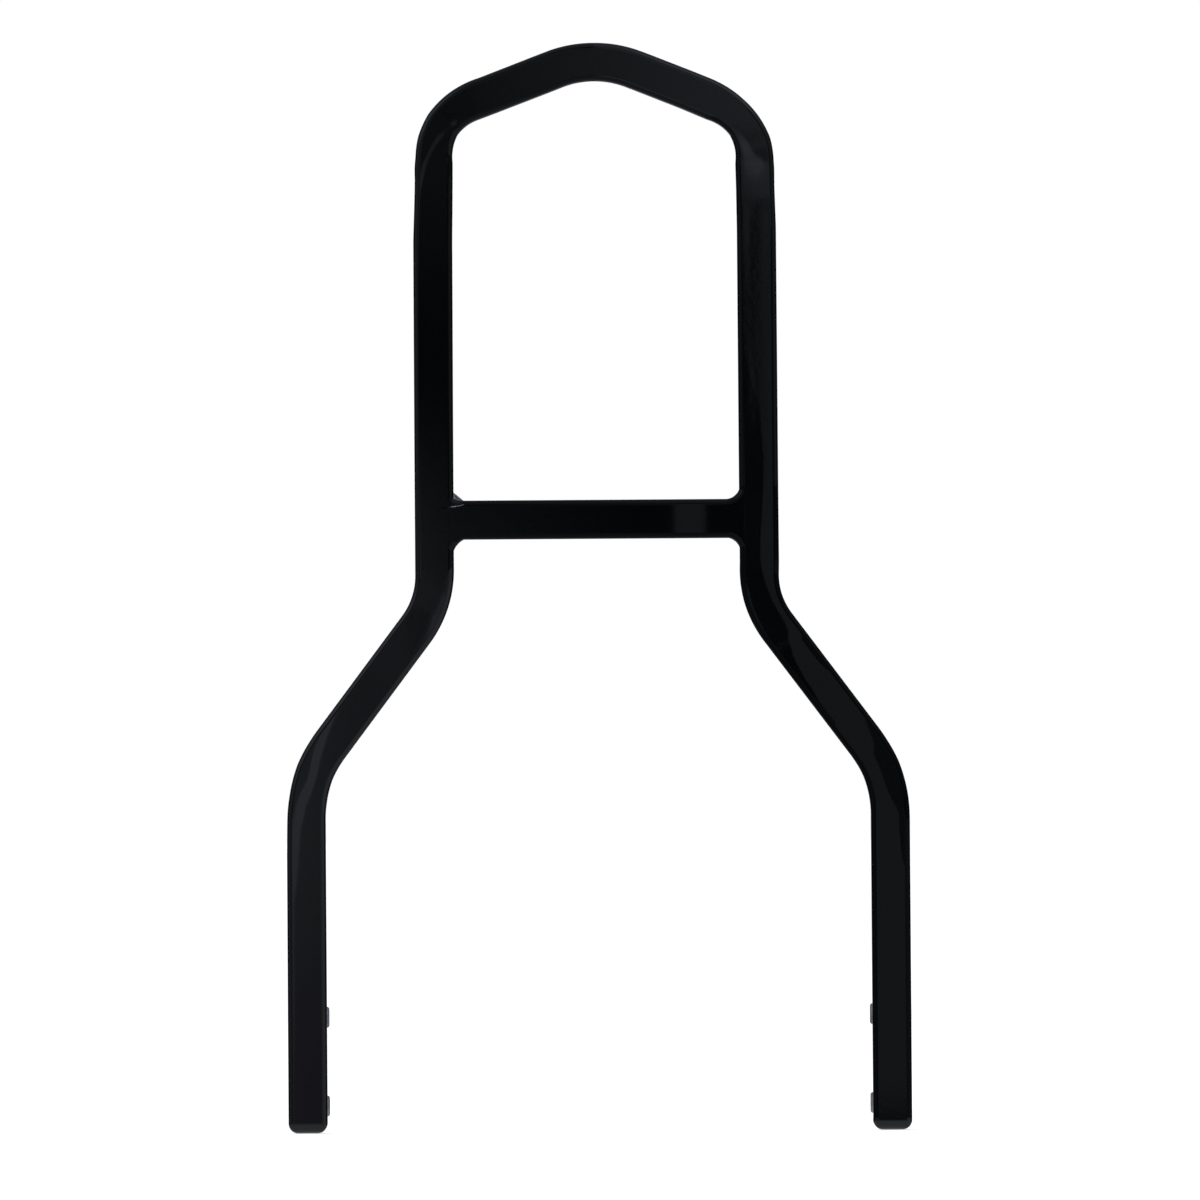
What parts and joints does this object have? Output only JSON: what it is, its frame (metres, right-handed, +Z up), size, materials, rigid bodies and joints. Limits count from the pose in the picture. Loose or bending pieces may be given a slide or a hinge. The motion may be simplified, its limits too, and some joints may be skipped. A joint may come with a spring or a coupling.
{
  "type": "sissy bar",
  "caption": "Motorcycle backrest upright of bent square tube: peaked hoop, welded crossbar and splayed legs that end in rounded plugs, with threaded inserts across each leg.",
  "frame": {"origin": "level with the ends of the legs, midway between the legs and midway through the depth of the tube", "axes": "+Z up along the legs towards the peak of the hoop, +X across the hoop, -Y out of the front face that the picture shows"},
  "size_m": [0.2542, 0.016, 0.4435],
  "materials": {
    "black_coat": "smooth gloss black coat over steel",
    "plated_steel": "dull grey plated, turned"
  },
  "bodies": {
    "root": {"hoop": "black_coat", "crossbar": "black_coat", "left_weld": "black_coat", "right_weld": "black_coat", "left_plug": "black_coat", "right_plug": "black_coat", "left_upper_insert": "plated_steel", "left_lower_insert": "plated_steel", "right_upper_insert": "plated_steel", "right_lower_insert": "plated_steel"}
  },
  "joints": []
}
